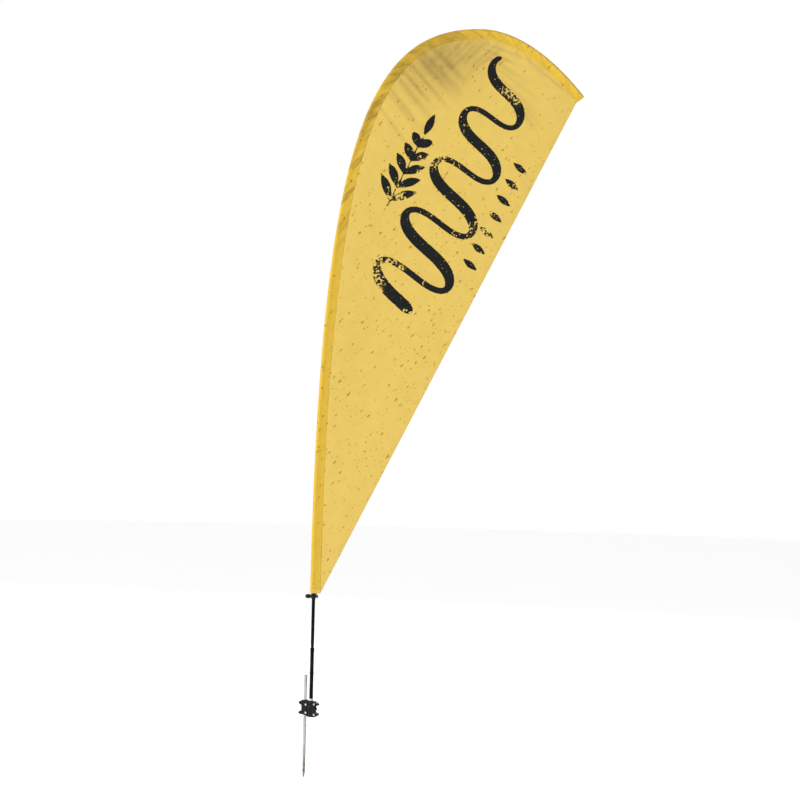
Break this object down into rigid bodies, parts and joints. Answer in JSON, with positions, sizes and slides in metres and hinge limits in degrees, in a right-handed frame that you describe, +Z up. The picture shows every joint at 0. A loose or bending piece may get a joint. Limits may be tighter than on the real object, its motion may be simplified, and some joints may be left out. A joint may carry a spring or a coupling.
{
  "type": "teardrop flag",
  "caption": "Yellow teardrop flag on a curved black pole that swivels on a spindle, held upright by a steel ground stake and a bolted black bracket.",
  "frame": {"origin": "on the pole's axis, level with the underside of the bracket, which is the ground line", "axes": "+Z up along the pole; the flag lies in the XZ plane and flies towards +X; its front faces -Y"},
  "size_m": [0.8402, 0.0539, 2.3355],
  "materials": {
    "sleeve_cloth": "dyed knitted polyester, deeper yellow, sewn double",
    "panel_cloth": "printed knitted polyester, light yellow with a dark worn print and brown flecks",
    "liner_cloth": "grey block-out cloth",
    "pole_fibre": "black fibreglass tube, semi-gloss",
    "socket_tube": "black coated steel tube, semi-gloss",
    "cast_plastic": "moulded black nylon, fine grain",
    "stake_steel": "plain drawn steel, soil-stained towards the point",
    "fastener_zinc": "bright zinc plate",
    "ferrule_steel": "drawn steel band",
    "insert_brass": "turned brass",
    "washer_nylon": "natural white nylon",
    "tip_rubber": "soft black rubber",
    "elastic_cord": "black braided elastic cord"
  },
  "bodies": {
    "ground_stake": {"stake_rod": "stake_steel", "bracket_body": "cast_plastic", "bracket_cap": "cast_plastic", "spindle": "stake_steel", "bracket_bolt_1": "fastener_zinc", "bracket_bolt_2": "fastener_zinc", "bracket_bolt_3": "fastener_zinc", "bracket_bolt_4": "fastener_zinc", "bracket_nut_1": "fastener_zinc", "bracket_nut_2": "fastener_zinc", "bracket_nut_3": "fastener_zinc", "bracket_nut_4": "fastener_zinc"},
    "thrust_washer": {"thrust_washer": "washer_nylon"},
    "swivel_socket": {"swivel_socket": "socket_tube"},
    "mast": {"base_pole": "pole_fibre", "mid_pole": "pole_fibre", "upper_pole": "pole_fibre", "tip_rod": "pole_fibre", "ferrule_lower": "ferrule_steel", "ferrule_middle": "ferrule_steel", "ferrule_upper": "ferrule_steel", "socket_spigot": "pole_fibre", "tip_cap": "tip_rubber", "pole_sleeve": "sleeve_cloth", "tip_pocket": "sleeve_cloth", "mouth_binding": "sleeve_cloth", "front_graphic": "panel_cloth", "blockout_liner": "liner_cloth", "back_graphic": "panel_cloth", "trailing_hem": "panel_cloth", "tension_loop": "elastic_cord", "loop_tab": "sleeve_cloth"},
    "tension_collar": {"tension_collar": "cast_plastic", "threaded_insert": "insert_brass"},
    "screw_pad": {"screw_pad": "washer_nylon"},
    "thumb_screw": {"thumb_screw_shank": "fastener_zinc", "thumb_screw_knob": "cast_plastic"}
  },
  "joints": [
    {"name": "flag_swivel", "type": "hinge", "parent": "ground_stake", "child": "thrust_washer", "pos_m": [0, 0, 0.0533], "axis": [0, 0, 1], "continuous": true},
    {"name": "spindle_lift_off", "type": "slide", "parent": "thrust_washer", "child": "swivel_socket", "axis": [0, 0, 1], "range_m": [0, 0.071]},
    {"name": "pole_pull_out", "type": "slide", "parent": "swivel_socket", "child": "mast", "axis": [0, 0, 1], "range_m": [0, 0.072]},
    {"name": "collar_tension", "type": "slide", "parent": "mast", "child": "tension_collar", "axis": [0, 0, 1], "range_m": [-0.025, 0], "deforming": ["tension_loop"]},
    {"name": "screw_travel", "type": "slide", "parent": "tension_collar", "child": "screw_pad", "axis": [-1, 0, 0], "range_m": [0, 0.0014]},
    {"name": "thumb_screw_turn", "type": "hinge", "parent": "screw_pad", "child": "thumb_screw", "pos_m": [-0.015, 0, 0.3739], "axis": [-1, 0, 0], "range_deg": [0, 721]}
  ],
  "couplings": [
    {"joint": "thumb_screw_turn", "follows": "screw_travel", "rad_per_m": 8976}
  ]
}
